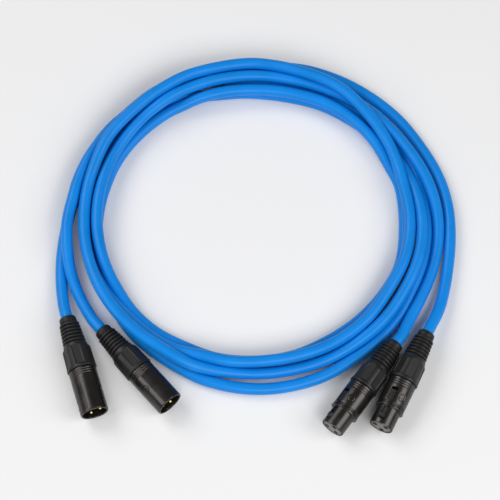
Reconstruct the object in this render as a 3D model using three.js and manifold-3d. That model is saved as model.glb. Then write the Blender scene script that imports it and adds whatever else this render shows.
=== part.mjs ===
// A pair of balanced microphone cables, coiled together into one loose ring.
// Each cable has a three-pin male connector at one end and a three-socket female one at the other.
// Millimetres, +Z up. The coil is laid out around its own centre and the whole pair is then moved
// so that the origin is the middle of its footprint, on the surface it lies on.
import * as THREE from "three";
import { mergeVertices } from "three/addons/utils/BufferGeometryUtils.js";
import Module from "manifold-3d";

const wasm = await Module();
wasm.setup();

// ---- driving dimensions -------------------------------------------------------------------
const GAP = 0.3; // clearance between neighbouring solids
const CABLE_RADIUS = 4;
const CABLE_INSIDE = 28; // length of jacket held inside each connector
const CABLE_STEP = 12; // spacing of the tube's sections

const BOOT_LENGTH = 19.4;
const BOOT_COLLAR = 4.4; // smooth end of the boot, where the cable comes out
const BOOT_RIBS = 6;
const RIB_RADIUS = 6.6; // of the first rib
const RIB_GROWTH = 0.22; // from each rib to the next
const RIB_DEPTH = 0.9;
const RIB_GAP = 0.8;
const BORE_RADIUS = 4.35; // cable passage through boot and chuck
const BUSHING_START = BOOT_LENGTH + GAP;
const BUSHING_END = 38.7;
const BUSHING_RADIUS = 10; // the flared end, which the connector lies on
const FLUTES = 6;
const FLUTE_WIDTH = 5;
const FLUTE_SLOPE = 3; // degrees by which a flute's floor rises towards the flare
const FLUTE_FLOOR = 7.2; // from the axis, where the floor's slope would meet the boot's mouth
const SHELL_START = BUSHING_END + GAP;
const NECK_START = 30.9; // threaded neck of the shell, inside the bushing
const NECK_RADIUS = 7.9;
const NECK_BORE = 6.6;
const SEAT = 49.7; // step inside the shell that the contact insert sits against

const MALE_LENGTH = 70;
const MALE_SHELL_RADIUS = 9.4;
const MALE_BORE = 8.1;
const MALE_INSERT_FACE = 54;
const PIN_RADIUS = 1.18;
const PIN_TIP = 68.3;

const FEMALE_LENGTH = 73.5;
const FEMALE_SHELL_RADIUS = 9.5;
const SHOULDER = 60.5;
const NOSE_RADIUS = 8.05;
const NOSE_BORE = 7.2;
const SOCKET_RADIUS = 1.8;
const SOCKET_MOUTH = 70.7;
const CONTACTS = [[-3.81, 2.03], [3.81, 2.03], [0, -4.32]]; // across and up from the axis
const WIRE_RADIUS = 0.7;
const SOLDER_PIN_RADIUS = 0.75; // of each contact's back end, where its wire joins

const LEVER_WIDTH = 3.4;
const LEVER_PIVOT = [49, 6.6]; // along the connector, and up from its axis
const LEVER_PIN_RADIUS = 0.6;
const CHANNEL_FLOOR = 4; // bottom of the insert's channel under the lever

const COIL_OUTER = 119.5;
const COIL_INNER = 97.5;
const COIL_HEIGHT = 20; // as high as the turns lie where three of them cross
const COIL_CHAMFER = 5;
const TUCK_TURN = 8; // degrees in which a lead turns in under the coil
const TUCK_DEPTH = 6;

// ---- where each connector lies: middle of the boot's cable end, heading and roll in degrees ------
// Each lead starts at the boot and lists the points where the cable lies, until it joins the coil.
// The turn is the way round that the lead takes as it joins: +1 clockwise seen from above.
const AXIS_HEIGHT = BUSHING_RADIUS;
const ENDS = [
  {
    cable: "cable_1", name: "male_1", male: true, at: [-124.3, -72.6], heading: -72.8, roll: 90,
    turn: 1,
    lead: [
      [-128, -57, 6.5], [-129.3, -48, 4.6], [-130, -38, 4.1], [-130, -28, 4.1], [-129.4, -18, 4.1],
      [-128.4, -8, 4.1], [-126.6, 4, 4.1], [-124, 15, 4.1], [-120, 27, 4.1],
    ],
  },
  {
    cable: "cable_2", name: "male_2", male: true, at: [-100.9, -80.9], heading: -48.3, roll: -90,
    turn: 1,
    lead: [
      [-111, -65.6, 8.4], [-115.6, -57, 7], [-119.4, -48.6, 7.4], [-123.2, -39, 9.6],
      [-125.4, -29, 11.4], [-126.8, -17, 12.3], [-127.2, -6, 12.3], [-126.3, 4, 12.3],
      [-124.5, 14, 12.3], [-121.9, 27, 12.3], [-116.6, 41.5, 11.4], [-109.4, 55.7, 9],
    ],
  },
  {
    cable: "cable_1", name: "female_1", male: false, at: [94.9, -90.5], heading: -126.1, roll: 45,
    turn: -1,
    lead: [
      [105.6, -73, 10], [112, -58, 9.6], [117.6, -45, 9.5], [122.2, -31, 9.5], [125.5, -17, 9.5],
      [126.9, -2.6, 9.5], [126, 13, 9], [122.3, 28, 8], [116.4, 42, 7], [108.8, 55.4, 6],
      [99.2, 67.5, 5],
    ],
  },
  {
    cable: "cable_2", name: "female_2", male: false, at: [116.1, -83.2], heading: -116.6, roll: 13,
    turn: -1,
    lead: [
      [125.2, -64.8, 7.6], [128.7, -53, 5.2], [131.2, -41, 4.1], [133.2, -29, 4.1], [134.6, -17, 4.1],
      [135.2, -4, 4.1], [134.8, 9, 4.1], [132.4, 23, 4.1], [128, 37, 4.1], [121.8, 50, 4.1],
      [113.6, 64, 4.1], [104, 77.6, 4.1], [92.6, 89.4, 4.1], [79.4, 100, 4.1], [64.8, 109, 4.1],
      [48, 116.2, 4.1], [34, 120, 4.1], [19.7, 121.6, 4.1],
    ],
  },
];

// ---- materials ----------------------------------------------------------------------------
const material = (color, roughness, metalness) =>
  new THREE.MeshStandardMaterial({ color, roughness, metalness });
const JACKET = material(0x1e87d5, 0.45, 0);
const RUBBER = material(0x1b1b1c, 0.8, 0);
const PLASTIC = material(0x202021, 0.6, 0);
const BLACK_CHROME = material(0x2b2a29, 0.32, 0.9);
const GOLD = material(0xd9b45a, 0.25, 1);
const SPRING_STEEL = material(0xb8b8b8, 0.35, 1);
const WIRES = [material(0xc8322d, 0.5, 0), material(0xe8e8e4, 0.5, 0), material(0xb07a45, 0.4, 0.6)];

// ---- geometry helpers ---------------------------------------------------------------------
const radians = THREE.MathUtils.degToRad;

function facingOut(geometry) {
  geometry.deleteAttribute("normal");
  geometry.deleteAttribute("uv");
  const merged = mergeVertices(geometry, 1e-4);
  const { array } = merged.index;
  const p = merged.attributes.position;
  const [a, b, c] = [new THREE.Vector3(), new THREE.Vector3(), new THREE.Vector3()];
  const kept = [];
  let volume = 0;
  for (let i = 0; i < array.length; i += 3) {
    const [u, v, w] = [array[i], array[i + 1], array[i + 2]];
    if (u === v || v === w || w === u) continue; // slivers where a profile meets its axis
    kept.push(u, v, w);
    a.fromBufferAttribute(p, u);
    b.fromBufferAttribute(p, v);
    c.fromBufferAttribute(p, w);
    volume += a.dot(b.cross(c));
  }
  if (volume < 0) kept.reverse();
  merged.setIndex(kept);
  return merged;
}

function toSolid(geometry) {
  const closed = facingOut(geometry);
  return new wasm.Manifold(new wasm.Mesh({
    numProp: 3,
    vertProperties: new Float32Array(closed.attributes.position.array),
    triVerts: new Uint32Array(closed.index.array),
  }));
}

function toGeometry(solid) {
  const { vertProperties, triVerts } = solid.getMesh();
  const geometry = new THREE.BufferGeometry();
  geometry.setAttribute("position", new THREE.BufferAttribute(vertProperties, 3));
  geometry.setIndex(new THREE.BufferAttribute(triVerts, 1));
  return geometry;
}

const cut = (base, ...tools) =>
  toGeometry(tools.reduce((solid, tool) => solid.subtract(toSolid(tool)), toSolid(base)));

// A turned piece: profile points are [distance along the connector, radius].
function turned(profile, segments = 24) {
  const points = profile.map(([along, radius]) => new THREE.Vector2(radius, along));
  if (profile[0][1] > 0) points.push(points[0].clone());
  return facingOut(new THREE.LatheGeometry(points, segments).rotateZ(-Math.PI / 2));
}

function rod(from, to, radius, across = 0, up = 0, segments = 10) {
  return turned([[from, 0], [from, radius], [to, radius], [to, 0]], segments)
    .translate(0, across, up);
}

function block(from, to, width, bottom, top) {
  return new THREE.BoxGeometry(to - from, width, top - bottom)
    .translate((from + to) / 2, 0, (bottom + top) / 2);
}

function tube(path, radius, sides, steps) {
  const section = new THREE.Shape();
  for (let i = 0; i < sides; i++) {
    const angle = (2 * Math.PI * i) / sides;
    const [x, y] = [radius * Math.cos(angle), radius * Math.sin(angle)];
    if (i) section.lineTo(x, y);
    else section.moveTo(x, y);
  }
  section.closePath();
  return facingOut(new THREE.ExtrudeGeometry(section, {
    steps, extrudePath: path, bevelEnabled: false,
  }));
}

// ---- pieces shared by both kinds of connector --------------------------------------------------
function boot() {
  const profile = [[0, BORE_RADIUS], [0, 5.3], [0.7, 5.8], [4, 6]];
  const pitch = (BOOT_LENGTH - BOOT_COLLAR) / BOOT_RIBS;
  for (let i = 0; i < BOOT_RIBS; i++) {
    const start = BOOT_COLLAR + i * pitch;
    const radius = RIB_RADIUS + RIB_GROWTH * i;
    profile.push([start, radius - RIB_DEPTH], [start + pitch - RIB_GAP, radius]);
  }
  profile.push([BOOT_LENGTH, 7.2], [BOOT_LENGTH, BORE_RADIUS]);
  return turned(profile, 16);
}

function bushing() {
  const body = turned([
    [BUSHING_START, 4.6], [BUSHING_START, 7.8], [22, 8.5], [26, 9.3], [36, 9.7],
    [37.5, BUSHING_RADIUS], [BUSHING_END, BUSHING_RADIUS], [BUSHING_END, NECK_RADIUS + GAP],
    [NECK_START - GAP, NECK_RADIUS + GAP], [NECK_START - GAP, 6.5], [22.6, 6.5], [22.6, 4.6],
  ], 24);
  const flutes = [];
  for (let i = 0; i < FLUTES; i++) {
    const flat = block(23, 36.2, FLUTE_WIDTH, FLUTE_FLOOR, 12).rotateY(radians(-FLUTE_SLOPE));
    flutes.push(flat.rotateX((2 * Math.PI * (i + 0.5)) / FLUTES));
  }
  return cut(body, ...flutes);
}

function chuck() {
  const sleeve = turned([
    [23.2, BORE_RADIUS], [23.2, 6.2], [33.8, 6.2], [35.2, 5.6], [35.2, BORE_RADIUS],
  ], 16);
  const slots = [0, 1].map((i) => block(26, 36, 1, -8, 8).rotateX((i * Math.PI) / 2));
  return cut(sleeve, ...slots);
}

const groundContact = () => block(35.8, 41.6, 3, -6.2, -5.85);

function wire([across, up], contactStart) {
  const start = CABLE_INSIDE + GAP;
  const end = contactStart - GAP;
  const path = new THREE.CatmullRomCurve3([
    new THREE.Vector3(start, across * 0.35, up * 0.35),
    new THREE.Vector3(start + 3, across * 0.4, up * 0.4),
    new THREE.Vector3(end - 3.5, across, up),
    new THREE.Vector3(end, across, up),
  ]);
  return tube(path, WIRE_RADIUS, 6, 4);
}

// ---- male connector -------------------------------------------------------------------------
const MALE_CONTACT_START = 41;

function maleShell() {
  const body = turned([
    [NECK_START, NECK_BORE], [NECK_START, NECK_RADIUS], [SHELL_START, NECK_RADIUS],
    [SHELL_START, MALE_SHELL_RADIUS - 0.4], [SHELL_START + 0.4, MALE_SHELL_RADIUS],
    [MALE_LENGTH - 0.3, MALE_SHELL_RADIUS], [MALE_LENGTH, MALE_SHELL_RADIUS - 0.3],
    [MALE_LENGTH, MALE_BORE + 0.3], [MALE_LENGTH - 0.3, MALE_BORE], [SEAT, MALE_BORE],
    [SEAT, NECK_BORE],
  ], 24);
  const latchWindow = block(60, 64.2, 4.2, 6, 12);
  return cut(body, latchWindow);
}

function maleInsert() {
  const body = turned([
    [44, 0], [44, NECK_BORE - GAP], [SEAT + GAP, NECK_BORE - GAP], [SEAT + GAP, MALE_BORE - GAP],
    [MALE_INSERT_FACE, MALE_BORE - GAP], [MALE_INSERT_FACE, 0],
  ]);
  const holes = CONTACTS.map(([across, up]) => rod(43, 55, PIN_RADIUS + GAP, across, up));
  return cut(body, ...holes);
}

function pin([across, up]) {
  const start = MALE_CONTACT_START;
  return turned([
    [start + 2.5, 0], [start + 2.5, SOLDER_PIN_RADIUS], [start, SOLDER_PIN_RADIUS],
    [start, PIN_RADIUS],
    [PIN_TIP - 0.8, PIN_RADIUS], [PIN_TIP, 0],
  ], 10).translate(0, across, up);
}

// ---- female connector -----------------------------------------------------------------------
const FEMALE_CONTACT_START = 42;

function femaleShell() {
  const body = turned([
    [NECK_START, NECK_BORE], [NECK_START, NECK_RADIUS], [SHELL_START, NECK_RADIUS],
    [SHELL_START, FEMALE_SHELL_RADIUS - 0.4], [SHELL_START + 0.4, FEMALE_SHELL_RADIUS],
    [SHOULDER - 2.6, FEMALE_SHELL_RADIUS], [SHOULDER - 2.3, 9.1], [SHOULDER - 1.7, 9.1],
    [SHOULDER - 1.4, 9.6], [SHOULDER - 0.5, 9.6], [SHOULDER, 9.1], [SHOULDER, NOSE_RADIUS],
    [FEMALE_LENGTH - 0.4, NOSE_RADIUS], [FEMALE_LENGTH, NOSE_RADIUS - 0.4],
    [FEMALE_LENGTH, NOSE_BORE], [SEAT, NOSE_BORE], [SEAT, NECK_BORE],
  ], 24);
  const tabWindow = block(46.9, 56.8, 4.4, 4.2, 12);
  const noseSlot = block(SHOULDER + 0.4, 70.4, 4.4, 4.2, 12);
  const pinHole = rod(-3.4, 3.4, LEVER_PIN_RADIUS + GAP).rotateZ(Math.PI / 2)
    .translate(LEVER_PIVOT[0], 0, LEVER_PIVOT[1]);
  return cut(body, tabWindow, noseSlot, pinHole);
}

function femaleInsert() {
  const radius = NOSE_BORE - GAP;
  const body = turned([
    [44, 0], [44, NECK_BORE - GAP], [SEAT + GAP, NECK_BORE - GAP], [SEAT + GAP, radius],
    [FEMALE_LENGTH, radius], [FEMALE_LENGTH, 0],
  ]);
  const cavities = CONTACTS.map(([across, up]) =>
    rod(43, SOCKET_MOUTH + GAP, SOCKET_RADIUS + GAP, across, up));
  const entries = CONTACTS.map(([across, up]) => rod(70, FEMALE_LENGTH + 1, 1.45, across, up));
  const channel = block(43, 71.8, LEVER_WIDTH + 2 * GAP, CHANNEL_FLOOR, 12);
  return cut(body, channel, ...cavities, ...entries);
}

function socket([across, up]) {
  const start = FEMALE_CONTACT_START;
  return turned([
    [start + 3, 0], [start + 3, SOLDER_PIN_RADIUS], [start, SOLDER_PIN_RADIUS],
    [start, SOCKET_RADIUS],
    [SOCKET_MOUTH, SOCKET_RADIUS], [SOCKET_MOUTH, 1.25], [52, 1.25], [52, 0],
  ], 10).translate(0, across, up);
}

// The lever turns on its pin; pressing the tab lowers the hook at the front into the nose.
function latchLever() {
  const outline = new THREE.Shape();
  outline.absarc(...LEVER_PIVOT, 1.5, Math.PI * 0.6, Math.PI * 1.5, false);
  outline.lineTo(69.6, 5.5);
  outline.lineTo(69.6, 7.2);
  outline.lineTo(68.2, 8.9);
  outline.lineTo(66.6, 8.9);
  outline.lineTo(66.6, 6.5);
  outline.lineTo(56.4, 6.5);
  outline.lineTo(56.4, 8.6);
  outline.lineTo(55.8, 9);
  outline.lineTo(51.4, 9);
  outline.lineTo(50.6, 8.2);
  outline.closePath();
  const hole = new THREE.Path();
  hole.absarc(...LEVER_PIVOT, LEVER_PIN_RADIUS + GAP, 0, 2 * Math.PI, true);
  outline.holes.push(hole);
  return upright(outline, LEVER_WIDTH, 5);
}

const latchPin = () => rod(-2.9, 2.9, LEVER_PIN_RADIUS).rotateZ(Math.PI / 2)
  .translate(LEVER_PIVOT[0], 0, LEVER_PIVOT[1]);

function latchSpring() {
  const outline = new THREE.Shape([
    [51.6, 4.5], [55.4, 4.2], [61, 4.2], [61, 4.45], [55.5, 4.45], [51.7, 4.8],
  ].map(([along, up]) => new THREE.Vector2(along, up)));
  return upright(outline, 2.4, 1);
}

// An outline drawn along and up, made into a plate that stands across the connector.
function upright(outline, width, curveSegments) {
  return facingOut(new THREE.ExtrudeGeometry(outline, { depth: width, bevelEnabled: false, curveSegments })
    .rotateX(Math.PI / 2).translate(0, width / 2, 0));
}

// ---- coil and leads -------------------------------------------------------------------------
function coilRing(inner, outer) {
  const profile = [
    [inner, 0], [outer, 0], [outer, COIL_HEIGHT - COIL_CHAMFER], [outer - COIL_CHAMFER, COIL_HEIGHT],
    [inner + COIL_CHAMFER, COIL_HEIGHT], [inner, COIL_HEIGHT - COIL_CHAMFER], [inner, 0],
  ];
  const points = profile.map(([radius, up]) => new THREE.Vector2(radius, up));
  return facingOut(new THREE.LatheGeometry(points, 48).rotateX(Math.PI / 2));
}

function leadPath({ at, heading, turn, lead }) {
  const along = new THREE.Vector3(Math.cos(radians(heading)), Math.sin(radians(heading)), 0);
  const mouth = new THREE.Vector3(...at, AXIS_HEIGHT);
  const inside = [CABLE_INSIDE, CABLE_INSIDE / 2, 0, -CABLE_RADIUS * 2]
    .map((distance) => mouth.clone().addScaledVector(along, distance));
  const [x, y, z] = lead[lead.length - 1];
  const angle = Math.atan2(y, x) - turn * radians(TUCK_TURN);
  const radius = COIL_OUTER - TUCK_DEPTH;
  const tuck = new THREE.Vector3(radius * Math.cos(angle), radius * Math.sin(angle), z);
  const beyond = angle - turn * radians(TUCK_TURN);
  const end = new THREE.Vector3(radius * Math.cos(beyond), radius * Math.sin(beyond), z);
  return new THREE.CatmullRomCurve3([...inside, ...lead.map((p) => new THREE.Vector3(...p)), tuck, end]);
}

function leadTube(end) {
  const path = leadPath(end);
  const whole = tube(path, CABLE_RADIUS, 10, Math.round(path.getLength() / CABLE_STEP));
  const profile = [
    [COIL_INNER, -1], [COIL_OUTER + GAP, -1], [COIL_OUTER + GAP, 30], [COIL_INNER, 30], [COIL_INNER, -1],
  ];
  const points = profile.map(([radius, up]) => new THREE.Vector2(radius, up));
  const coilSpace = facingOut(new THREE.LatheGeometry(points, 48).rotateX(Math.PI / 2));
  return cut(whole, coilSpace);
}

// ---- assembly -------------------------------------------------------------------------------
function mesh(name, geometry, look) {
  const piece = new THREE.Mesh(geometry, look);
  piece.name = name;
  return piece;
}

function connector({ name, male, at, heading, roll }) {
  const group = new THREE.Group();
  const add = (part, geometry, look) => group.add(mesh(`${name}_${part}`, geometry, look));
  add("boot", boot(), RUBBER);
  add("bushing", bushing(), PLASTIC);
  add("chuck", chuck(), PLASTIC);
  add("ground_contact", groundContact(), SPRING_STEEL);
  add("shell", male ? maleShell() : femaleShell(), BLACK_CHROME);
  add("insert", male ? maleInsert() : femaleInsert(), PLASTIC);
  CONTACTS.forEach((contact, i) => {
    if (male) add(`pin_${i + 1}`, pin(contact), GOLD);
    else add(`socket_${i + 1}`, socket(contact), GOLD);
    const contactStart = male ? MALE_CONTACT_START : FEMALE_CONTACT_START;
    add(`wire_${i + 1}`, wire(contact, contactStart), WIRES[i]);
  });
  if (!male) {
    add("latch_lever", latchLever(), PLASTIC);
    add("latch_pin", latchPin(), SPRING_STEEL);
    add("latch_spring", latchSpring(), SPRING_STEEL);
  }
  group.position.set(...at, AXIS_HEIGHT);
  group.rotation.set(radians(roll), 0, radians(heading), "ZYX");
  return group;
}

const pair = new THREE.Group();
const coilMiddle = (COIL_INNER + COIL_OUTER) / 2;
pair.add(mesh("cable_1_coil", coilRing(COIL_INNER, coilMiddle - GAP / 2), JACKET));
pair.add(mesh("cable_2_coil", coilRing(coilMiddle + GAP / 2, COIL_OUTER), JACKET));
for (const end of ENDS) {
  const side = end.male ? "male" : "female";
  pair.add(mesh(`${end.cable}_${side}_lead`, leadTube(end), JACKET));
  pair.add(connector(end));
}

pair.updateMatrixWorld(true);
const footprint = new THREE.Box3().setFromObject(pair, true);
const middle = footprint.getCenter(new THREE.Vector3());
pair.position.set(-middle.x, -middle.y, -footprint.min.z);
pair.updateMatrixWorld(true);

export default pair;
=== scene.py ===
import math

import bmesh
import bpy
import numpy as np
from mathutils import Matrix, Vector
from mathutils.geometry import tessellate_polygon


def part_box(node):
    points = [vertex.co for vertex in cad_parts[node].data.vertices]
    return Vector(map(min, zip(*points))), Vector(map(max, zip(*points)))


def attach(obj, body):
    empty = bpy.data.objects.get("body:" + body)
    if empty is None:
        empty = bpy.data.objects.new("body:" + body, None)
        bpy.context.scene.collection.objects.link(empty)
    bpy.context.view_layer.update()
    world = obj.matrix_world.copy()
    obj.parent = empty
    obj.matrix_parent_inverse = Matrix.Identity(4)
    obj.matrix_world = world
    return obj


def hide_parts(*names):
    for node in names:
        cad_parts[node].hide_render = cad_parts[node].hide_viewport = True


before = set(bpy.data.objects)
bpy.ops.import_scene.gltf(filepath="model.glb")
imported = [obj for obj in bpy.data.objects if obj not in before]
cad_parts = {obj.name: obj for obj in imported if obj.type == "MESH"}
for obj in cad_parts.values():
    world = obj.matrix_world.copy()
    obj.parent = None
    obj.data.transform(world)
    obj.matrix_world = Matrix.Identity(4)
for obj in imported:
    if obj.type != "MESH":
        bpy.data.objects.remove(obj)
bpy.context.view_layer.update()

# A pair of microphone cables in one loose coil, with two male and two female three-pin connectors.
# Metres throughout. A connector is drawn along its own axis: +X from the boot's cable end to its
# face, +Z up before it is rolled; its sizes are in millimetres and scaled by MM as they are built.
MM = 0.001

# ---- where things are --------------------------------------------------------------------------
# Everything is laid out around the middle of the coil, which the frame gives.
coil_low, coil_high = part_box("cable_2_coil")
COIL_MIDDLE = Vector(((coil_low.x + coil_high.x) / 2, (coil_low.y + coil_high.y) / 2, 0))
AXIS_HEIGHT = 0.010  # of every connector, lying on its bushing

CABLE_DIAMETER = 0.008
CABLE_RADIUS = CABLE_DIAMETER / 2
CABLE_INSIDE = 0.024  # jacket inside each connector that is drawn

# Each connector: middle of the boot's cable end, heading and roll in degrees, the place of its
# round mark as a roll about the axis, and the points where the cable lies as it leaves the boot.
ENDS = {
    "male_1": dict(
        at=(-0.1243, -0.0726), heading=-72.8, roll=90, mark=-145,
        lead=[
            (-0.128, -0.0575, 0.0065), (-0.1293, -0.048, 0.0046), (-0.130, -0.038, 0.0041),
            (-0.130, -0.028, 0.0041), (-0.1294, -0.018, 0.0041), (-0.1284, -0.008, 0.0041),
            (-0.1266, 0.004, 0.0041), (-0.124, 0.015, 0.0041), (-0.120, 0.027, 0.0041),
        ],
    ),
    "male_2": dict(
        at=(-0.1009, -0.0809), heading=-48.3, roll=-90, mark=136,
        lead=[
            (-0.1112, -0.067, 0.0084), (-0.116, -0.058, 0.007), (-0.1199, -0.049, 0.0074),
            (-0.1232, -0.0393, 0.0096), (-0.1255, -0.029, 0.0114), (-0.1268, -0.017, 0.0123),
            (-0.1271, -0.006, 0.0123), (-0.126, 0.004, 0.0123), (-0.1239, 0.0139, 0.0123),
            (-0.1211, 0.0268, 0.0123), (-0.1156, 0.0412, 0.0116), (-0.1083, 0.0552, 0.011),
        ],
    ),
    "female_1": dict(
        at=(0.0949, -0.0905), heading=-126.1, roll=45, mark=-43,
        lead=[
            (0.1046, -0.0726, 0.010), (0.1107, -0.0578, 0.0096), (0.1166, -0.0444, 0.0095),
            (0.1219, -0.0308, 0.0095), (0.1250, -0.0168, 0.0095), (0.1263, -0.0026, 0.0095),
            (0.1249, 0.0129, 0.009), (0.1207, 0.0277, 0.008), (0.1144, 0.0412, 0.007),
            (0.1065, 0.0543, 0.006), (0.0976, 0.0663, 0.005),
        ],
    ),
    "female_2": dict(
        at=(0.1161, -0.0832), heading=-116.6, roll=13, mark=-43,
        lead=[
            (0.1249, -0.0652, 0.0076), (0.1286, -0.053, 0.0052), (0.1312, -0.041, 0.0041),
            (0.1332, -0.029, 0.0041), (0.1346, -0.017, 0.0041), (0.1352, -0.004, 0.0041),
            (0.1348, 0.009, 0.0041), (0.1324, 0.023, 0.0041), (0.128, 0.037, 0.0041),
            (0.1218, 0.050, 0.0041), (0.1136, 0.064, 0.0041), (0.104, 0.0776, 0.0041),
            (0.0926, 0.0894, 0.0041), (0.0794, 0.100, 0.0041), (0.0648, 0.109, 0.0041),
            (0.048, 0.1162, 0.0041), (0.034, 0.120, 0.0041), (0.0197, 0.1216, 0.0041),
        ],
    ),
}

# Where each cable's turns lie, between its two leads: degrees round the coil (clockwise from the
# left, seen from above), distance from the coil's middle in millimetres, and the layer that it
# starts in before the cables settle, 0 for on the floor. These are stations that were measured,
# not turns that a formula gives; settle() then works out the heights.
TURNS = {
    "cable_1": [
        (30, 124, 0), (45, 121.5, 0), (57, 118.5, 1), (68, 115.5, 1), (80, 112, 0.7), (92, 109.5, 0),
        (105, 110, 0), (120, 111.5, 0), (150, 116, 0), (180, 120, 0), (210, 119.8, 0),
        (240, 120, 0), (255, 121, 0), (270, 120.5, 0), (285, 118.5, 0), (300, 115.5, 0),
        (315, 113.8, 0), (330, 110.8, 0), (345, 108.3, 0), (360, 107.5, 0), (375, 106.9, 1),
        (390, 105.7, 1), (405, 104.6, 1), (420, 103, 1), (435, 100.6, 1), (450, 99.6, 1),
        (465, 100.3, 1), (480, 102.5, 1), (495, 103.7, 0), (510, 105.1, 0), (525, 105.9, 0),
        (555, 105, 0), (570, 103.2, 0), (585, 101.4, 0), (600, 100.4, 0), (615, 101.2, 0),
        (630, 101.4, 0), (645, 102.2, 0), (660, 103, 1), (675, 104.4, 1), (690, 105.8, 1),
        (705, 106, 1), (720, 106.7, 1), (735, 107.4, 1), (750, 108.3, 1), (765, 108.7, 1),
        (780, 108.8, 1), (795, 109.4, 1), (810, 110.7, 1), (825, 111.3, 1), (840, 113.2, 1),
        (855, 116.2, 0.6),
    ],
    "cable_2": [
        (36, 120.8, 1), (45, 118, 1), (52, 115, 0.9), (60, 109.5, 0.4), (68, 105, 0), (78, 102, 0),
        (88, 101, 0), (105, 101, 0), (120, 103.8, 0), (135, 107.5, 0.3), (150, 111, 1),
        (165, 113.7, 1), (180, 115.8, 1), (195, 116.1, 1), (210, 114.8, 1), (225, 114.8, 1),
        (240, 111.9, 1.5), (255, 110.2, 1.5), (270, 109.8, 1.5), (285, 110.3, 1.8), (300, 112.4, 2),
        (315, 114.6, 2.6), (330, 115.4, 2.9), (345, 115.3, 2.4), (360, 115.5, 1.6), (375, 116.3, 1.5),
        (390, 117.2, 2), (405, 115.5, 2), (420, 116, 2), (435, 117.6, 2), (450, 118.9, 1.5),
        (465, 115.4, 1.8), (480, 114.8, 2), (495, 112, 2), (510, 109.3, 2), (525, 107.3, 1.8),
        (540, 107.4, 1.5), (555, 106.9, 1.3), (570, 105, 1), (585, 105.5, 1), (600, 105, 1),
        (615, 103.8, 1), (630, 104, 1), (645, 106.3, 1), (660, 108.6, 1), (675, 110.6, 1),
        (690, 112.4, 1), (705, 113.8, 0.5), (720, 114.3, 0), (750, 114.5, 0), (765, 114.3, 0),
        (780, 115.5, 0), (792, 119, 0), (804, 121.5, 0), (812, 122.5, 0),
    ],
}
LAYER_RISE = 0.0068  # a strand in the hollow between two others lies this much above them
CABLES = {"cable_1": ("male_1", "female_1"), "cable_2": ("male_2", "female_2")}

# ---- camera -----------------------------------------------------------------------------------
CAMERA_DISTANCE = 1.285
CAMERA_ELEVATION = math.radians(66.5)
CAMERA_TARGET = COIL_MIDDLE + Vector((-0.002, -0.0185, 0))
CAMERA_LENS = 135  # millimetres, on a sensor 36 mm wide


def make_camera():
    data = bpy.data.cameras.new("camera")
    data.lens = CAMERA_LENS
    data.sensor_width = 36
    data.clip_start = 0.05
    data.clip_end = 20
    camera = bpy.data.objects.new("camera", data)
    bpy.context.scene.collection.objects.link(camera)
    back = Vector((0, -math.cos(CAMERA_ELEVATION), math.sin(CAMERA_ELEVATION)))
    camera.location = CAMERA_TARGET + CAMERA_DISTANCE * back
    camera.rotation_euler = (math.pi / 2 - CAMERA_ELEVATION, 0, 0)
    bpy.context.scene.camera = camera


make_camera()

# ---- how the cables lie -------------------------------------------------------------------------
STEP = 0.005  # spacing of the points that settle
SETTLE_ROUNDS = 400
SINK = 0.00016  # how far a free point drops in a round
HOLD = 0.15  # how strongly a point keeps to its place in plan
STIFF_NEAR = 8  # points nearer than this along a cable can't meet each other


def spaced(line, step):
    """The line again, with points about step apart."""
    along = np.concatenate([[0], np.cumsum(np.linalg.norm(np.diff(line, axis=0), axis=1))])
    at = np.linspace(0, along[-1], round(along[-1] / step) + 1)
    return np.stack([np.interp(at, along, line[:, k]) for k in range(3)], axis=1)


def smooth_line(points, step):
    """A centripetal Catmull-Rom curve through the points."""
    p = np.array(points, float)
    p = np.vstack([2 * p[0] - p[1], p, 2 * p[-1] - p[-2]])
    stretches = []
    for i in range(1, len(p) - 2):
        p0, p1, p2, p3 = p[i - 1:i + 3]
        t1 = np.linalg.norm(p1 - p0) ** 0.5
        t2 = t1 + np.linalg.norm(p2 - p1) ** 0.5
        t3 = t2 + np.linalg.norm(p3 - p2) ** 0.5
        u = np.linspace(t1, t2, 24, endpoint=False)[:, None]
        a1 = p0 + (p1 - p0) * u / t1
        a2 = p1 + (p2 - p1) * (u - t1) / (t2 - t1)
        a3 = p2 + (p3 - p2) * (u - t2) / (t3 - t2)
        b1 = a1 + (a2 - a1) * u / t2
        b2 = a2 + (a3 - a2) * (u - t1) / (t3 - t1)
        stretches.append(b1 + (b2 - b1) * (u - t1) / (t2 - t1))
    return spaced(np.vstack([*stretches, p[-2:-1]]), step)


def leaving(end):
    """Points of the cable from inside a connector to where it joins the coil."""
    a = math.radians(end["heading"])
    x, y = end["at"]
    inside = [
        (x + d * math.cos(a), y + d * math.sin(a), AXIS_HEIGHT)
        for d in (CABLE_INSIDE, CABLE_INSIDE / 2, 0, -2 * CABLE_RADIUS)
    ]
    return inside + end["lead"]


def route(cable):
    start, finish = (leaving(ENDS[name]) for name in CABLES[cable])
    turns = []
    for degrees, radius, layer in TURNS[cable]:
        a = math.radians(degrees)
        height = CABLE_RADIUS + layer * LAYER_RISE
        turns.append((-radius * MM * math.cos(a), radius * MM * math.sin(a), height))
    return smooth_line(start + turns + finish[::-1], STEP)


def evened(values, rounds=2):
    for _ in range(rounds):
        middle = (values[:-2] + values[2:]) / 2
        values = np.vstack([values[:1], (values[1:-1] + middle) / 2, values[-1:]])
    return values


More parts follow.
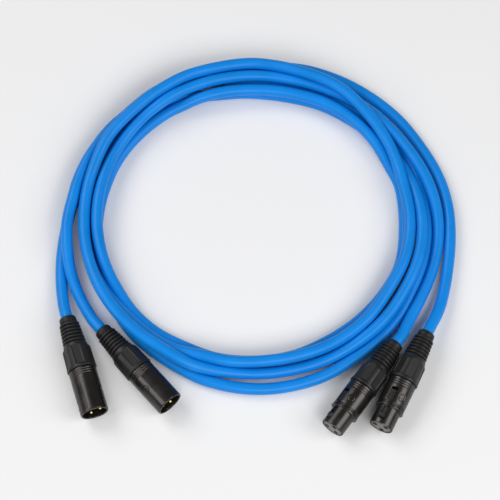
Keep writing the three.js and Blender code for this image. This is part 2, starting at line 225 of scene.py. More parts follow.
def settle(lines):
    """The cables sink until they lie on the floor and on each other, keeping their place in plan."""
    counts = [len(line) for line in lines]
    starts = np.concatenate([[0], np.cumsum(counts)])
    cable = np.repeat(np.arange(len(lines)), counts)
    place = np.vstack(lines)
    plan = place.copy()
    held = np.zeros(len(place), bool)
    kept = round((CABLE_INSIDE + 2 * CABLE_RADIUS) / STEP)
    segments = []
    for first, last in zip(starts[:-1], starts[1:]):
        held[first:first + kept] = True
        held[last - kept:last] = True
        segments.append(np.arange(first, last - 1))
    segments = np.concatenate(segments)
    middles = (place[segments] + place[segments + 1]) / 2
    apart = np.linalg.norm(place[:, None, :2] - middles[None, :, :2], axis=2)
    index = np.arange(len(place))
    other = cable[:, None] != cable[segments][None]
    far = np.abs(index[:, None] - segments[None]) > STIFF_NEAR
    point, begin = np.nonzero((apart < 2.25 * CABLE_DIAMETER) & (other | far))
    begin = segments[begin]
    free = ~held
    for turn in range(SETTLE_ROUNDS):
        place[free, 2] -= SINK * (1 - 0.7 * turn / SETTLE_ROUNDS)
        place[free, :2] += HOLD * (plan - place)[free, :2]
        for first, last in zip(starts[:-1], starts[1:]):
            shift = place[first:last] - plan[first:last]
            shift[:, 2] = place[first:last, 2]
            moved = place[first:last] + evened(shift) - shift
            loose = free[first:last]
            place[first:last][loose] = moved[loose]
        for _ in range(3):
            push_apart(place, point, begin, free)
    return [place[a:b] for a, b in zip(starts[:-1], starts[1:])]


def push_apart(place, point, begin, free):
    a, b, x = place[begin], place[begin + 1], place[point]
    ab = b - a
    t = np.clip(((x - a) * ab).sum(1) / (ab * ab).sum(1), 0, 1)
    away = x - a - t[:, None] * ab
    gap = np.linalg.norm(away, axis=1)
    hit = gap < CABLE_DIAMETER
    push = away[hit] * ((CABLE_DIAMETER - gap[hit]) / np.maximum(gap[hit], 1e-6) / 4)[:, None]
    t = t[hit]
    moves = np.zeros_like(place)
    shares = np.zeros(len(place))
    first = begin[hit]
    for where, weight, sign in ((point[hit], 1 + 0 * t, 1), (first, 1 - t, -1), (first + 1, t, -1)):
        np.add.at(moves, where, sign * weight[:, None] * push)
        np.add.at(shares, where, weight)
    moves /= np.sqrt(np.maximum(shares, 1))[:, None]
    place[free] += moves[free]
    place[:, 2] = np.maximum(place[:, 2], CABLE_RADIUS)


# ---- mesh helpers -------------------------------------------------------------------------------
SHARP = math.radians(38)


def finish_mesh(name, verts, faces, matrix=Matrix.Identity(4)):
    """A mesh object with smooth faces, sharp where they meet at a steep angle."""
    mesh = bpy.data.meshes.new(name)
    mesh.from_pydata([tuple(v) for v in verts], [], [tuple(f) for f in faces])
    mesh.transform(matrix)
    obj = bpy.data.objects.new(name, mesh)
    bpy.context.scene.collection.objects.link(obj)
    tidy_mesh(obj)
    return obj


def tidy_mesh(obj):
    bm = bmesh.new()
    bm.from_mesh(obj.data)
    bmesh.ops.remove_doubles(bm, verts=bm.verts, dist=2e-6)
    bmesh.ops.dissolve_degenerate(bm, edges=bm.edges, dist=1e-6)
    bmesh.ops.recalc_face_normals(bm, faces=bm.faces)
    for face in bm.faces:
        face.smooth = True
    for edge in bm.edges:
        edge.smooth = not edge.is_manifold or edge.calc_face_angle(0) < SHARP
    bm.to_mesh(obj.data)
    bm.free()


def rounded(profile, radius, steps=3):
    """The profile again, with each corner turned into a short arc."""
    p = [Vector(q) for q in profile]
    out = [p[0]]
    for before, here, after in zip(p[:-2], p[1:-1], p[2:]):
        back, on = before - here, after - here
        reach = min(radius, 0.45 * back.length, 0.45 * on.length)
        a, b = here + back.normalized() * reach, here + on.normalized() * reach
        for i in range(steps + 1):
            t = i / steps
            out.append(a * (1 - t) ** 2 + here * 2 * t * (1 - t) + b * t ** 2)
    return [tuple(q) for q in out] + [tuple(p[-1])]


def divided(profile, spacing):
    """The profile again, with points added where a stretch is longer than the spacing."""
    out = [profile[0]]
    for (x0, r0), (x1, r1) in zip(profile[:-1], profile[1:]):
        n = max(1, math.ceil(math.hypot(x1 - x0, r1 - r0) / spacing))
        out += [(x0 + (x1 - x0) * i / n, r0 + (r1 - r0) * i / n) for i in range(1, n + 1)]
    return out


def even_angles(count):
    return [2 * math.pi * i / count for i in range(count)]


def turned(name, profile, matrix, angles=None, shaped=None):
    """A turned piece: the profile lists [along, radius] in millimetres, round a closed outline or
    from axis to axis. shaped(along, radius, angle) may change the radius; angle 0 is up."""
    angles = angles or even_angles(72)
    verts, rings = [], []
    for along, radius in profile:
        if radius < 1e-6:
            verts.append((along * MM, 0, 0))
            rings.append([len(verts) - 1] * len(angles))
            continue
        ring = []
        for a in angles:
            r = shaped(along, radius, a) if shaped else radius
            verts.append((along * MM, -r * MM * math.sin(a), r * MM * math.cos(a)))
            ring.append(len(verts) - 1)
        rings.append(ring)
    if profile[0][1] > 1e-6:
        rings.append(rings[0])
    faces = []
    for low, high in zip(rings[:-1], rings[1:]):
        for i in range(len(angles)):
            j = (i + 1) % len(angles)
            corners = list(dict.fromkeys((low[i], low[j], high[j], high[i])))
            if len(corners) > 2:
                faces.append(corners)
    return finish_mesh(name, verts, faces, matrix)


def plate(name, outline, width, matrix, bevel=0.0):
    """An outline of [along, up] points made into a plate across the connector."""
    half = width / 2
    count = len(outline)
    verts = [(x * MM, side * half * MM, z * MM) for side in (-1, 1) for x, z in outline]
    sides = [(i, (i + 1) % count, count + (i + 1) % count, count + i) for i in range(count)]
    flat = tessellate_polygon([[Vector((x, z, 0)) for x, z in outline]])
    faces = sides + [tuple(f) for f in flat] + [tuple(count + i for i in f[::-1]) for f in flat]
    obj = finish_mesh(name, verts, faces)
    bm = bmesh.new()
    bm.from_mesh(obj.data)
    bmesh.ops.dissolve_limit(bm, angle_limit=0.01, verts=bm.verts, edges=bm.edges)
    if bevel:
        edges = [e for e in bm.edges if e.calc_face_angle(0) > math.radians(20)]
        bmesh.ops.bevel(bm, geom=edges, offset=bevel * MM, segments=2, affect="EDGES", profile=0.6)
    bm.to_mesh(obj.data)
    bm.free()
    obj.data.transform(matrix)
    tidy_mesh(obj)
    return obj


def cut(obj, *tools):
    """Cuts the tools out of obj for good."""
    for tool in tools:
        modifier = obj.modifiers.new("cut", "BOOLEAN")
        modifier.operation = "DIFFERENCE"
        modifier.solver = "EXACT"
        modifier.object = tool
    bpy.context.view_layer.update()
    result = bpy.data.meshes.new_from_object(obj.evaluated_get(bpy.context.evaluated_depsgraph_get()))
    obj.modifiers.clear()
    obj.data = result
    for tool in tools:
        bpy.data.objects.remove(tool)
    tidy_mesh(obj)
    return obj


def window(x0, x1, width, bottom, top, matrix, corner=0.5):
    """A cutter for a window with round corners in the top of a shell."""
    outline = []
    for cx, cy, start in (
        (x1 - corner, width / 2 - corner, 0), (x0 + corner, width / 2 - corner, 90),
        (x0 + corner, -width / 2 + corner, 180), (x1 - corner, -width / 2 + corner, 270),
    ):
        for i in range(5):
            a = math.radians(start + 22.5 * i)
            outline.append((cx + corner * math.cos(a), cy + corner * math.sin(a)))
    n = len(outline)
    verts = [(x * MM, y * MM, z * MM) for z in (bottom, top) for x, y in outline]
    faces = [(i, (i + 1) % n, n + (i + 1) % n, n + i) for i in range(n)]
    faces += [tuple(range(n))[::-1], tuple(range(n, 2 * n))]
    return finish_mesh("cutter", verts, faces, matrix)


def off_axis(matrix, across, up):
    """The place of something turned about a line beside the connector's own axis."""
    return matrix @ Matrix.Translation((0, across * MM, up * MM))


def rod(x0, x1, radius, place, count):
    """A round cutter along the place's X."""
    profile = [(x0, 0), (x0, radius), (x1, radius), (x1, 0)]
    return turned("cutter", profile, place, even_angles(count))


# ---- materials ----------------------------------------------------------------------------------
class Look:
    """A material in the making: a Principled shader and short ways to wire procedural detail."""

    def __init__(self, name, color, roughness, metallic=0.0, **sockets):
        self.material = bpy.data.materials.new(name)
        self.material.use_nodes = True
        self.material.diffuse_color = (*color, 1)
        self.tree = self.material.node_tree
        self.shader = next(n for n in self.tree.nodes if n.type == "BSDF_PRINCIPLED")
        self.shader.inputs["Base Color"].default_value = (*color, 1)
        self.shader.inputs["Roughness"].default_value = roughness
        self.shader.inputs["Metallic"].default_value = metallic
        for socket, value in sockets.items():
            self.shader.inputs[socket.replace("_", " ")].default_value = value
        self.coordinates = self.node("ShaderNodeTexCoord").outputs["Object"]

    def node(self, kind, **settings):
        made = self.tree.nodes.new(kind)
        for key, value in settings.items():
            setattr(made, key, value)
        return made

    def link(self, a, b):
        self.tree.links.new(a, b)

    def noise(self, scale, detail=3, stretch=(1, 1, 1), source=None, roughness=0.5):
        mapping = self.node("ShaderNodeMapping")
        mapping.inputs["Scale"].default_value = stretch
        self.link(source or self.coordinates, mapping.inputs["Vector"])
        noise = self.node("ShaderNodeTexNoise")
        noise.inputs["Scale"].default_value = scale
        noise.inputs["Detail"].default_value = detail
        noise.inputs["Roughness"].default_value = roughness
        self.link(mapping.outputs["Vector"], noise.inputs["Vector"])
        return noise.outputs["Fac"]

    def ranged(self, value, low, high, out_low, out_high):
        node = self.node("ShaderNodeMapRange")
        self.link(value, node.inputs["Value"])
        limits = {"From Min": low, "From Max": high, "To Min": out_low, "To Max": out_high}
        for socket, number in limits.items():
            node.inputs[socket].default_value = number
        return node.outputs["Result"]

    def mixed_color(self, factor, first, second):
        node = self.node("ShaderNodeMix", data_type="RGBA")
        self.link(factor, node.inputs[0])
        for socket, value in ((node.inputs[6], first), (node.inputs[7], second)):
            if hasattr(value, "links"):
                self.link(value, socket)
            else:
                socket.default_value = (*value, 1)
        return node.outputs[2]

    def set_color(self, output):
        self.link(output, self.shader.inputs["Base Color"])

    def set_roughness(self, output):
        self.link(output, self.shader.inputs["Roughness"])

    def bump(self, *layers):
        """Each layer is (height, strength, distance in metres)."""
        normal = None
        for height, strength, distance in layers:
            node = self.node("ShaderNodeBump")
            node.inputs["Strength"].default_value = strength
            node.inputs["Distance"].default_value = distance
            self.link(height, node.inputs["Height"])
            if normal:
                self.link(normal, node.inputs["Normal"])
            normal = node.outputs["Normal"]
        self.link(normal, self.shader.inputs["Normal"])


def scaled(color, factor):
    return tuple(min(1, c * factor) for c in color)


def jacket_look():
    """Blue PVC: extrusion lines along the cable, a faint mottle and small rub marks."""
    blue = (0.002, 0.222, 0.69)
    look = Look("jacket_blue", blue, 0.34, Specular_IOR_Level=0.22)
    along = look.node("ShaderNodeUVMap", uv_map="along").outputs["UV"]
    lines = look.noise(1.0, 4, (60, 9, 1), along, 0.6)
    mottle = look.noise(45, 3)
    rubbed = look.noise(420, 5, roughness=0.65)
    patches = look.ranged(mottle, 0.3, 0.7, 0, 1)
    tone = look.mixed_color(patches, scaled(blue, 0.93), (0.005, 0.235, 0.74))
    scuffs = look.ranged(rubbed, 0.62, 0.8, 0, 0.35)
    look.set_color(look.mixed_color(scuffs, tone, (0.035, 0.29, 0.76)))
    look.set_roughness(look.ranged(rubbed, 0.35, 0.75, 0.31, 0.42))
    look.bump((lines, 0.25, 0.00008), (rubbed, 0.12, 0.00003))
    return look.material


def rubber_look():
    """Matte black elastomer with a fine eroded grain and a little dust in it."""
    black = (0.0085, 0.0085, 0.009)
    look = Look("boot_rubber", black, 0.48, Specular_IOR_Level=0.35)
    grain = look.noise(2600, 4, roughness=0.6)
    cloud = look.noise(160, 3)
    worn = look.ranged(cloud, 0.45, 0.75, 0, 0.5)
    look.set_color(look.mixed_color(worn, black, (0.015, 0.0148, 0.015)))
    look.set_roughness(look.ranged(grain, 0.3, 0.7, 0.42, 0.56))
    look.bump((grain, 0.35, 0.00005), (cloud, 0.1, 0.00008))
    return look.material


def bushing_look():
    """Glass-filled black nylon: satin, with a fine spark-eroded texture."""
    black = (0.0095, 0.0093, 0.0092)
    look = Look("bushing_plastic", black, 0.42, Specular_IOR_Level=0.4)
    grain = look.noise(1900, 3, roughness=0.55)
    cloud = look.noise(120, 4)
    worn = look.ranged(cloud, 0.4, 0.75, 0, 0.6)
    look.set_color(look.mixed_color(worn, black, (0.016, 0.0157, 0.0155)))
    look.set_roughness(look.ranged(cloud, 0.3, 0.7, 0.38, 0.5))
    look.bump((grain, 0.4, 0.00006))
    return look.material


def shell_look():
    """Black-chromed die-cast zinc with a fine satin texture, rubbed brighter in places."""
    dark = (0.055, 0.051, 0.049)
    look = Look("shell_black_chrome", dark, 0.27, 0.9)
    grain = look.noise(2400, 3, roughness=0.6)
    cloud = look.noise(90, 5, roughness=0.6)
    scratch = look.noise(700, 6, (1, 1, 0.25), roughness=0.75)
    tone = look.mixed_color(look.ranged(cloud, 0.35, 0.7, 0, 1), dark, (0.068, 0.063, 0.060))
    hairline = look.ranged(scratch, 0.66, 0.8, 0, 0.35)
    look.set_color(look.mixed_color(hairline, tone, (0.12, 0.11, 0.10)))
    look.set_roughness(look.ranged(cloud, 0.3, 0.75, 0.22, 0.34))
    look.bump((grain, 0.22, 0.00004), (scratch, 0.05, 0.00003))
    return look.material


def insert_look(name, color, roughness):
    look = Look(name, color, roughness, Specular_IOR_Level=0.5)
    grain = look.noise(1500, 3)
    cloud = look.noise(300, 3)
    look.set_color(look.mixed_color(look.ranged(cloud, 0.4, 0.7, 0, 1), color, scaled(color, 1.35)))
    look.set_roughness(look.ranged(grain, 0.3, 0.7, roughness - 0.05, roughness + 0.07))
    look.bump((grain, 0.2, 0.00004))
    return look.material


def metal_look(name, color, roughness, fineness=1200):
    look = Look(name, color, roughness, 1.0)
    lines = look.noise(fineness, 4, (1, 1, 0.3), roughness=0.7)
    cloud = look.noise(400, 3)
    look.set_color(look.mixed_color(look.ranged(cloud, 0.35, 0.7, 0, 1), color, scaled(color, 0.85)))
    look.set_roughness(look.ranged(lines, 0.3, 0.7, roughness * 0.8, roughness * 1.3))
    look.bump((lines, 0.12, 0.00003))
    return look.material


def wire_look(name, color):
    look = Look(name, color, 0.5)
    cloud = look.noise(600, 3)
    look.set_color(look.mixed_color(look.ranged(cloud, 0.3, 0.7, 0, 1), color, scaled(color, 0.8)))
    look.bump((look.noise(1500, 2), 0.15, 0.00004))
    return look.material


LOOKS = {
    "jacket": jacket_look(),
    "boot_rubber": rubber_look(),
    "bushing_plastic": bushing_look(),
    "shell_metal": shell_look(),
    "insert_plastic": insert_look("insert_plastic", (0.018, 0.018, 0.018), 0.42),
    "face_plastic": insert_look("face_plastic", (0.12, 0.115, 0.108), 0.4),
    # painted shade: near-black sleeves in the socket mouths darken the holes
    "hole_shade": insert_look("painted_hole_shade", (0.004, 0.004, 0.004), 0.6),
    "latch_plastic": insert_look("latch_plastic", (0.006, 0.006, 0.006), 0.5),
    "contact_gold": metal_look("contact_gold", (0.86, 0.60, 0.24), 0.2),
    "steel_parts": metal_look("steel_parts", (0.55, 0.55, 0.56), 0.3),
    "wire_red": wire_look("wire_red", (0.55, 0.03, 0.02)),
    "wire_white": wire_look("wire_white", (0.78, 0.78, 0.75)),
    "wire_screen": metal_look("wire_screen", (0.72, 0.42, 0.22), 0.35, 2500),
}


def shown(obj, look, body, slot, *stands_for):
    """Gives a piece its material and its body, and hides the CAD nodes that it stands for; slot is not
    used.
    """
    obj.data.materials.clear()
    obj.data.materials.append(LOOKS[look])
    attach(obj, body)
    if stands_for:
        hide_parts(*stands_for)
    return obj


# ---- cables -------------------------------------------------------------------------------------
TUBE_SIDES = 28
TUBE_STEP = 0.0022
LAY_PITCH = 0.055  # of the twisted cores, which show very faintly through the jacket
LAY_DEPTH = 0.00005


def tube(name, line):
    """A round jacket along the line, with a map of the way round and along it, and closed ends."""
    line = spaced(line, TUBE_STEP)
    along = np.concatenate([[0], np.cumsum(np.linalg.norm(np.diff(line, axis=0), axis=1))])
    tangent = np.gradient(line, axis=0)
    tangent /= np.linalg.norm(tangent, axis=1)[:, None]
    across = np.cross(tangent, (0, 0, 1))
    across /= np.linalg.norm(across, axis=1)[:, None]
    up = np.cross(across, tangent)
    angle = np.arange(TUBE_SIDES) * 2 * np.pi / TUBE_SIDES
    swell = np.cos(2 * angle[None] - 2 * np.pi * along[:, None] / LAY_PITCH)
    radius = (CABLE_RADIUS - 0.5 * LAY_DEPTH + 0.5 * LAY_DEPTH * swell)[:, :, None]
    rings = (
        line[:, None] + radius * (np.cos(angle)[None, :, None] * across[:, None]
                                  + np.sin(angle)[None, :, None] * up[:, None])
    )
    count = len(line)
    verts = rings.reshape(-1, 3).tolist()
    faces, corners = [], []
    for i in range(count - 1):
        for j in range(TUBE_SIDES):
            k = (j + 1) % TUBE_SIDES
            low, high = i * TUBE_SIDES, (i + 1) * TUBE_SIDES
            faces.append((low + j, low + k, high + k, high + j))
            u0, u1 = j / TUBE_SIDES, (j + 1) / TUBE_SIDES
            v0, v1 = along[i], along[i + 1]
            corners += [(u0, v0), (u1, v0), (u1, v1), (u0, v1)]
    faces.append(tuple(range(TUBE_SIDES))[::-1])
    faces.append(tuple((count - 1) * TUBE_SIDES + j for j in range(TUBE_SIDES)))
    corners += [(0.5, 0)] * TUBE_SIDES + [(0.5, along[-1])] * TUBE_SIDES
    mesh = bpy.data.meshes.new(name)
    mesh.from_pydata(verts, [], faces)
    mesh.uv_layers.new(name="along").data.foreach_set("uv", np.array(corners, np.float32).ravel())
    for polygon in mesh.polygons:
        polygon.use_smooth = True
    bm = bmesh.new()
    bm.from_mesh(mesh)
    bmesh.ops.recalc_face_normals(bm, faces=bm.faces)
    bm.to_mesh(mesh)
    bm.free()
    obj = bpy.data.objects.new(name, mesh)
    bpy.context.scene.collection.objects.link(obj)
    return obj


shift = np.array(COIL_MIDDLE)
laid = [line + shift for line in settle([route(cable) for cable in CABLES])]
cords = {}
for cable, line in zip(CABLES, laid):
    jacket = tube(f"{cable}_jacket", line)
    nodes = [f"{cable}_{part}" for part in ("coil", "male_lead", "female_lead")]
    cords[cable] = (shown(jacket, "jacket", "root", "jacket", *nodes), line)


# ---- connectors ---------------------------------------------------------------------------------
BOOT_LENGTH = 19.4
BOOT_COLLAR = 4.4
BOOT_RIBS = 6
BUSHING_START = 19.7
BUSHING_END = 38.7
FLUTES = 6
FLUTE_HALF_WIDTH = 2.9
SHELL_START = 39
NECK_START = 30.9
NECK_RADIUS = 7.9
NECK_BORE = 6.6
SEAT = 49.7
MALE_SHELL_RADIUS = 9.4
FEMALE_SHELL_RADIUS = 9.5
NOSE_RADIUS = 8.05
MALE_LENGTH = 70
MALE_INSERT_FACE = 54
PIN_TIP = 68.3
FEMALE_LENGTH = 73.5
SHOULDER = 60.5
SOCKET_MOUTH = 70.7
CONTACTS = [(-3.81, 2.03), (3.81, 2.03), (0, -4.32)]
LEVER_PIVOT = (49, 6.6)
LEVER_WIDTH = 3.7
MARK_RADIUS = 2.35  # of the ring in the round mark; its groove and the dot's hollow fade out softly
MARK_WIDTH = 0.3
MARK_DEPTH = 0.17
DOT_WIDTH = 0.75
DOT_DEPTH = 0.12
MARK_AT = {"male": 53.6, "female": 51.6}


def placed(end):
    """The matrix that puts a connector's own frame where it lies."""
    spot = COIL_MIDDLE + Vector((*end["at"], AXIS_HEIGHT))
    turn = Matrix.Rotation(math.radians(end["heading"]), 4, "Z")
    return Matrix.Translation(spot) @ turn @ Matrix.Rotation(math.radians(end["roll"]), 4, "X")


def boot(name, matrix):
    profile = [(0.3, 4.3), (0, 4.55), (0, 4.9), (0.5, 5.5), (1.6, 5.75), (3.7, 5.8)]
    pitch = (BOOT_LENGTH - BOOT_COLLAR) / BOOT_RIBS
    for i in range(BOOT_RIBS):
        start = BOOT_COLLAR + i * pitch
        radius = 6.75 + 0.2 * i
        floor = radius - 1.5
        profile += [
            (start - 0.3, floor), (start + 0.3, floor), (start + 0.5, radius - 0.35),
            (start + 0.85, radius), (start + pitch - 0.75, radius + 0.06),
            (start + pitch - 0.45, radius - 0.3),
        ]
    profile += [(BOOT_LENGTH, 6.4), (BOOT_LENGTH, 4.3), (0.3, 4.3)]
    outline = rounded(profile, 0.25, 3)[:-1]
    return turned(f"{name}_strain_relief", outline, matrix, even_angles(80))


def bushing(name, matrix):
    """The screwed bushing: a narrow collar, then six ridges with flutes between them, and a flare."""
    outer = [
        (BUSHING_START, 4.6), (BUSHING_START, 7.6), (20.3, 7.95), (22.4, 8.35), (23.6, 9.25),
        (24.6, 9.5), (30, 9.6), (36, 9.8), (37.3, 10.0), (BUSHING_END - 0.3, 10.0), (BUSHING_END, 9.8),
    ]
    inner = [(BUSHING_END, 8.25), (30.6, 8.25), (30.6, 6.5), (22.6, 6.5), (22.6, 4.6), outer[0]]
    profile = divided(rounded(outer + inner, 0.3, 3)[:-1], 0.6)

    def fluted(along, radius, angle):
        if radius < 7.6 or not 21.5 < along < 37:
            return radius
        turn = (angle % (2 * math.pi / FLUTES)) - math.pi / FLUTES
        floor = (8.3 + 0.055 * (along - 22)) / math.cos(turn)
        aside = radius * abs(math.sin(turn))
        inside = min(1, max(0, (FLUTE_HALF_WIDTH + 0.25 - aside) / 0.5))
        inside *= min(1, max(0, (37 - along) / 0.8))
        return radius - max(0, radius - floor) * inside * inside * (3 - 2 * inside)

    return turned(f"{name}_bushing_cap", profile, matrix, even_angles(240), fluted)


def turn_from(mark, angle):
    """How far an angle is from the mark, between half a turn back and half a turn on."""
    return (angle - mark + math.pi) % (2 * math.pi) - math.pi


def shell_angles(mark):
    """Angles round a shell, closer together at its round mark."""
    near = math.radians(22)
    coarse = [a for a in even_angles(96) if abs(turn_from(mark, a)) > near]
    fine = [(mark + near * (i / 24 - 1)) % (2 * math.pi) for i in range(49)]
    return sorted(coarse + fine)


def with_mark(mark_at, mark, outer):
    """The round mark pressed into the side of a shell: a ring with a dot in it."""

    def shaped(along, radius, angle):
        if radius < outer - 0.5:
            return radius
        away = math.hypot(along - mark_at, outer * turn_from(mark, angle))
        if away < 2 * MARK_RADIUS:
            radius -= MARK_DEPTH * math.exp(-(((away - MARK_RADIUS) / MARK_WIDTH) ** 2))
            radius -= DOT_DEPTH * math.exp(-((away / DOT_WIDTH) ** 2))
        return radius

    return shaped


def fine_grooves(outer):
    """Three fine grooves all round a shell, just ahead of its bushing."""
    points = []
    for i in range(3):
        at = SHELL_START + 1.7 + 1.6 * i
        points += [
            (at - 0.5, outer), (at - 0.2, outer - 0.22), (at + 0.2, outer - 0.22), (at + 0.5, outer),
        ]
    return points


def male_shell(name, matrix, mark):
    outer = MALE_SHELL_RADIUS
    profile = [
        (NECK_START, NECK_BORE), (NECK_START, NECK_RADIUS), (SHELL_START, NECK_RADIUS),
        (SHELL_START, outer - 0.25),
        (SHELL_START + 0.3, outer), *fine_grooves(outer), (69.2, outer), (69.45, outer - 0.12),
        (69.75, outer - 0.1),
        (MALE_LENGTH, outer - 0.35), (MALE_LENGTH, 8.4), (MALE_LENGTH - 0.4, 8.1), (SEAT, 8.1),
        (SEAT, NECK_BORE), (NECK_START, NECK_BORE),
    ]
    outline = refined(divided(rounded(profile, 0.2, 3)[:-1], 1.0), 49, 58, 0.25)
    shaped = with_mark(MARK_AT["male"], mark, outer)
    shell = turned(f"{name}_housing", outline, matrix, shell_angles(mark), shaped)
    return cut(shell, window(60, 64.2, 4.2, 6, 12, matrix))


def refined(profile, low, high, spacing):
    """The profile again, with short steps on its outside between two places along it."""
    out = [profile[0]]
    for (x0, r0), (x1, r1) in zip(profile[:-1], profile[1:]):
        inside = low < (x0 + x1) / 2 < high and min(r0, r1) > 9
        n = math.ceil(abs(x1 - x0) / spacing) if inside else 1
        out += [(x0 + (x1 - x0) * i / n, r0 + (r1 - r0) * i / n) for i in range(1, max(1, n) + 1)]
    return out


def pivot_place(matrix):
    """The place of something turned about the latch's pin, which lies across the connector."""
    along, up = LEVER_PIVOT
    shift = Matrix.Translation((along * MM, 0, up * MM))
    return matrix @ (shift @ Matrix.Rotation(math.pi / 2, 4, "Z"))


def female_shell(name, matrix, mark):
    outer, nose = FEMALE_SHELL_RADIUS, NOSE_RADIUS
    profile = [
        (NECK_START, NECK_BORE), (NECK_START, NECK_RADIUS), (SHELL_START, NECK_RADIUS),
        (SHELL_START, outer - 0.25),
        (SHELL_START + 0.3, outer), *fine_grooves(outer), (57.1, outer), (57.3, 8.9), (57.8, 8.9),
        (58.0, outer + 0.05), (58.5, outer + 0.05), (58.7, 8.95), (59.2, 8.95), (59.4, 9.75),
        (SHOULDER - 0.2, 9.75), (SHOULDER, 9.5), (SHOULDER, nose + 0.1), (SHOULDER + 0.4, nose),
        (FEMALE_LENGTH - 0.5, nose),
        (FEMALE_LENGTH, nose - 0.35), (FEMALE_LENGTH, 7.45), (FEMALE_LENGTH - 0.3, 7.2), (SEAT, 7.2),
        (SEAT, NECK_BORE), (NECK_START, NECK_BORE),
    ]
    outline = refined(divided(rounded(profile, 0.2, 3)[:-1], 1.0), 47.5, 56, 0.25)
    shaped = with_mark(MARK_AT["female"], mark, outer)
    shell = turned(f"{name}_housing", outline, matrix, shell_angles(mark), shaped)
    return cut(
        shell, window(46.9, 56.8, 4.4, 4.2, 12, matrix, 0.4),
        window(SHOULDER + 0.4, 70.4, 4.4, 4.2, 12, matrix, 0.8),
        rod(-3.4, 3.4, 0.9, pivot_place(matrix), 24),
    )


def male_insert(name, matrix):
    profile = [
        (44, 0), (44, 6.3), (SEAT + 0.3, 6.3), (SEAT + 0.3, 7.8), (53.6, 7.8),
        (MALE_INSERT_FACE, 7.4), (MALE_INSERT_FACE, 5.9),
        (53.6, 5.7), (53.6, 5.3), (MALE_INSERT_FACE, 5.1), (MALE_INSERT_FACE, 0),
    ]
    insert = turned(f"{name}_pin_carrier", rounded(profile, 0.2, 2), matrix, even_angles(64))
    return cut(insert, *[rod(43, 55, 1.3, off_axis(matrix, *contact), 24) for contact in CONTACTS])


def male_pin(name, number, matrix):
    profile = [
        (43.5, 0), (43.5, 0.75), (41, 0.75), (41, 1.18), (PIN_TIP - 1.6, 1.18), (PIN_TIP - 0.8, 1.08),
        (PIN_TIP - 0.25, 0.72), (PIN_TIP, 0.3), (PIN_TIP, 0),
    ]
    place = off_axis(matrix, *CONTACTS[number - 1])
    return turned(f"{name}_contact_pin_{number}", rounded(profile, 0.25, 3), place, even_angles(32))


def female_insert(name, matrix):
    face = FEMALE_LENGTH - 0.15
    profile = [
        (44, 0), (44, 6.3), (SEAT + 0.3, 6.3), (SEAT + 0.3, 6.9), (face - 0.3, 6.9), (face, 6.6),
        (face, 6.15), (face - 0.35, 6.0), (face - 0.35, 5.85), (face, 5.7), (face, 0),
    ]
    insert = turned(f"{name}_socket_carrier", rounded(profile, 0.15, 2), matrix, even_angles(72))
    tools = [block_cutter(43, 71.8, 4, 4, 12, matrix)]
    hole = [(43, 0), (43, 2.1), (71, 2.1), (71, 1.75), (face + 0.4, 1.75), (face + 0.4, 0)]
    for contact in CONTACTS:
        tools.append(turned("cutter", hole, off_axis(matrix, *contact), even_angles(32)))
    return cut(insert, *tools)


def hole_shade_sleeve(name, number, matrix):
    """A near-black sleeve in the mouth of one of the holes in a female connector's face: painted shade
    for the dark inside of the hole.
    """
    profile = [(71.1, 1.68), (73.2, 1.68), (73.2, 1.5), (71.1, 1.4)]
    place = off_axis(matrix, *CONTACTS[number - 1])
    return turned(f"{name}_painted_hole_shade_{number}", profile, place, even_angles(32))


def block_cutter(x0, x1, width, bottom, top, matrix):
    half = width / 2
    verts = [(x * MM, y * MM, z * MM) for x in (x0, x1) for y in (-half, half) for z in (bottom, top)]
    faces = [(0, 1, 3, 2), (4, 6, 7, 5), (0, 4, 5, 1), (2, 3, 7, 6), (0, 2, 6, 4), (1, 5, 7, 3)]
    return finish_mesh("cutter", verts, faces, matrix)


def latch_lever(name, matrix):
    """The latch: a tab that is pressed, with grip ridges, on an arm that ends in a hook."""
    px, pz = LEVER_PIVOT
    outline = []
    for i in range(9):
        a = math.radians(108 + i * (270 - 108) / 8)
        outline.append((px + 1.5 * math.cos(a), pz + 1.5 * math.sin(a)))
    outline += [(69.6, 5.5), (69.6, 7.2), (68.9, 8.25), (68.2, 8.85), (66.75, 8.85), (66.6, 8.7)]
    outline += [(66.6, 6.5), (56.4, 6.5), (56.4, 8.75), (56.0, 9.15)]
    for i in range(5):
        ridge = 55.4 - i * 1.15
        outline += [(ridge, 9.15), (ridge - 0.2, 8.85), (ridge - 0.4, 8.85), (ridge - 0.6, 9.15)]
    outline += [(49.0, 9.1), (48.2, 8.5)]
    lever = plate(f"{name}_latch_tab", outline, LEVER_WIDTH, matrix, bevel=0.12)
    return cut(lever, rod(-3, 3, 0.75, pivot_place(matrix), 24))


def carried_over(name, parts):
    """CAD pieces that stay as they are, inside the connector, with a better material."""
    for part, look in parts.items():
        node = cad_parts[f"{name}_{part}"]
        node.data.materials.clear()
        node.data.materials.append(LOOKS[look])


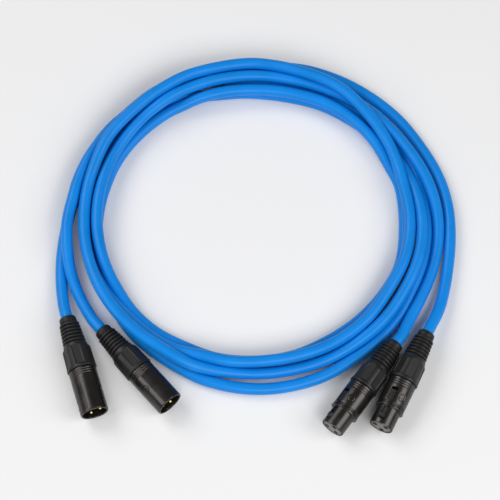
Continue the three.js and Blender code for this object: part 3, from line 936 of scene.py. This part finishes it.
def connector(name, end):
    matrix = placed(end)
    mark = math.radians(end["mark"]) % (2 * math.pi)
    male = name.startswith("male")
    pieces = [
        shown(boot(name, matrix), "boot_rubber", "root", "boot_rubber", f"{name}_boot"),
        shown(bushing(name, matrix), "bushing_plastic", "root", "bushing_plastic", f"{name}_bushing"),
    ]
    shell = male_shell(name, matrix, mark) if male else female_shell(name, matrix, mark)
    pieces.append(shown(shell, "shell_metal", "root", "shell_metal", f"{name}_shell"))
    inside = {"chuck": "insert_plastic", "ground_contact": "steel_parts"}
    for number, wire in zip((1, 2, 3), ("wire_red", "wire_white", "wire_screen")):
        inside[f"wire_{number}"] = wire
    if male:
        insert = male_insert(name, matrix)
        pieces.append(shown(insert, "insert_plastic", "root", "insert_plastic", f"{name}_insert"))
        for number in (1, 2, 3):
            pin = male_pin(name, number, matrix)
            pieces.append(shown(pin, "contact_gold", "root", "contact_gold", f"{name}_pin_{number}"))
    else:
        insert = female_insert(name, matrix)
        pieces.append(shown(insert, "face_plastic", "root", "insert_plastic", f"{name}_insert"))
        for number in (1, 2, 3):
            # painted shade: a near-black sleeve darkens the mouth of each hole
            hole_shade = hole_shade_sleeve(name, number, matrix)
            pieces.append(shown(hole_shade, "hole_shade", "root", "insert_plastic"))
        lever = latch_lever(name, matrix)
        shown(lever, "latch_plastic", f"{name}_latch", "latch_plastic", f"{name}_latch_lever")
        pieces.append(lever)
        inside.update(latch_pin="steel_parts", latch_spring="steel_parts")
        inside.update({f"socket_{number}": "contact_gold" for number in (1, 2, 3)})
    carried_over(name, inside)
    return pieces


built = {name: connector(name, end) for name, end in ENDS.items()}

for cable, (start, finish) in CABLES.items():
    jacket, line = cords[cable]


# ---- floor and light ----------------------------------------------------------------------------
def make_floor():
    size = 3
    corners = [(-size, -size, 0), (size, -size, 0), (size, size, 0), (-size, size, 0)]
    floor = finish_mesh("floor", corners, [(0, 1, 2, 3)])
    look = Look("floor_paper", (0.80, 0.80, 0.805), 0.85)
    fibre = look.noise(900, 4)
    look.bump((fibre, 0.05, 0.0001))
    floor.data.materials.append(look.material)


def soft_box(name, place, size, power):
    """A square or oblong light, aimed at the middle of the scene."""
    data = bpy.data.lights.new(name, "AREA")
    data.shape = "RECTANGLE"
    data.size, data.size_y = size
    data.energy = power
    light = bpy.data.objects.new(name, data)
    bpy.context.scene.collection.objects.link(light)
    light.location = place
    light.rotation_euler = (-Vector(place)).to_track_quat("-Z", "Y").to_euler()


def make_lights():
    world = bpy.data.worlds.new("studio")
    world.use_nodes = True
    background = world.node_tree.nodes["Background"]
    background.inputs["Color"].default_value = (1.0, 1.0, 1.0, 1)
    background.inputs["Strength"].default_value = 0.14
    bpy.context.scene.world = world
    soft_box("back_box", (-1.3, 0.9, 1.6), (1.3, 1.3), 20)
    soft_box("left_box", (-1.5, -0.5, 1.2), (1.0, 1.0), 9)
    soft_box("right_box", (1.5, -0.4, 1.3), (1.2, 1.2), 16)
    soft_box("front_box", (0.4, -1.6, 1.5), (1.8, 1.0), 28)


make_floor()
make_lights()
bpy.context.scene.view_settings.view_transform = "Standard"
